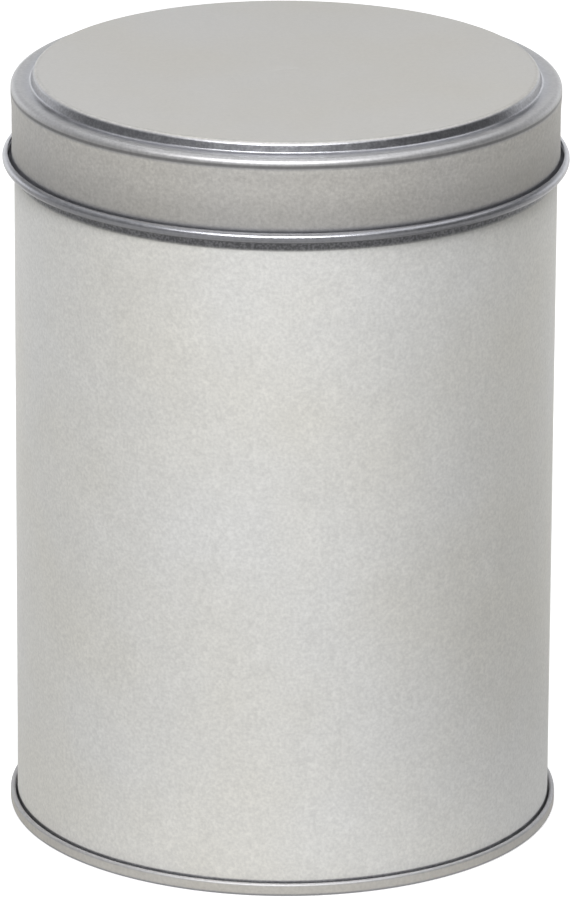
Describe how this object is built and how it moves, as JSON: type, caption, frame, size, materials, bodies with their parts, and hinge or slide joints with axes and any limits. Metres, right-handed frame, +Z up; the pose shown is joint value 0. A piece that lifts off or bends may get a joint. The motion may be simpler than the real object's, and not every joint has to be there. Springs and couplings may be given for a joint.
{
  "type": "candle tin",
  "caption": "Round tinplate candle tin: straight welded body with a double-seamed bottom, and a slip lid with a raised panel and rolled hem that lifts off.",
  "frame": {"origin": "centre of the foot, on the plane that the tin stands on", "axes": "+Z up along the tin's axis, -Y towards the front, and the welded side seam down the back on +Y"},
  "size_m": [0.0876, 0.0876, 0.1199],
  "materials": {
    "body_tinplate": "matte stone-finish tinplate with a fine mottled grain",
    "end_tinplate": "matte tinplate, slightly darker and worn on the seam",
    "lid_tinplate": "matte tinplate, smooth and bright on the bends",
    "seal": "dull cured sealing compound"
  },
  "bodies": {
    "tin": {"body_shell": "body_tinplate", "bottom_end": "end_tinplate", "seam_compound": "seal"},
    "lid": {"lid": "lid_tinplate"}
  },
  "joints": [
    {"name": "lid_lift", "type": "slide", "parent": "tin", "child": "lid", "axis": [0, 0, 1], "range_m": [0, 0.06]}
  ]
}
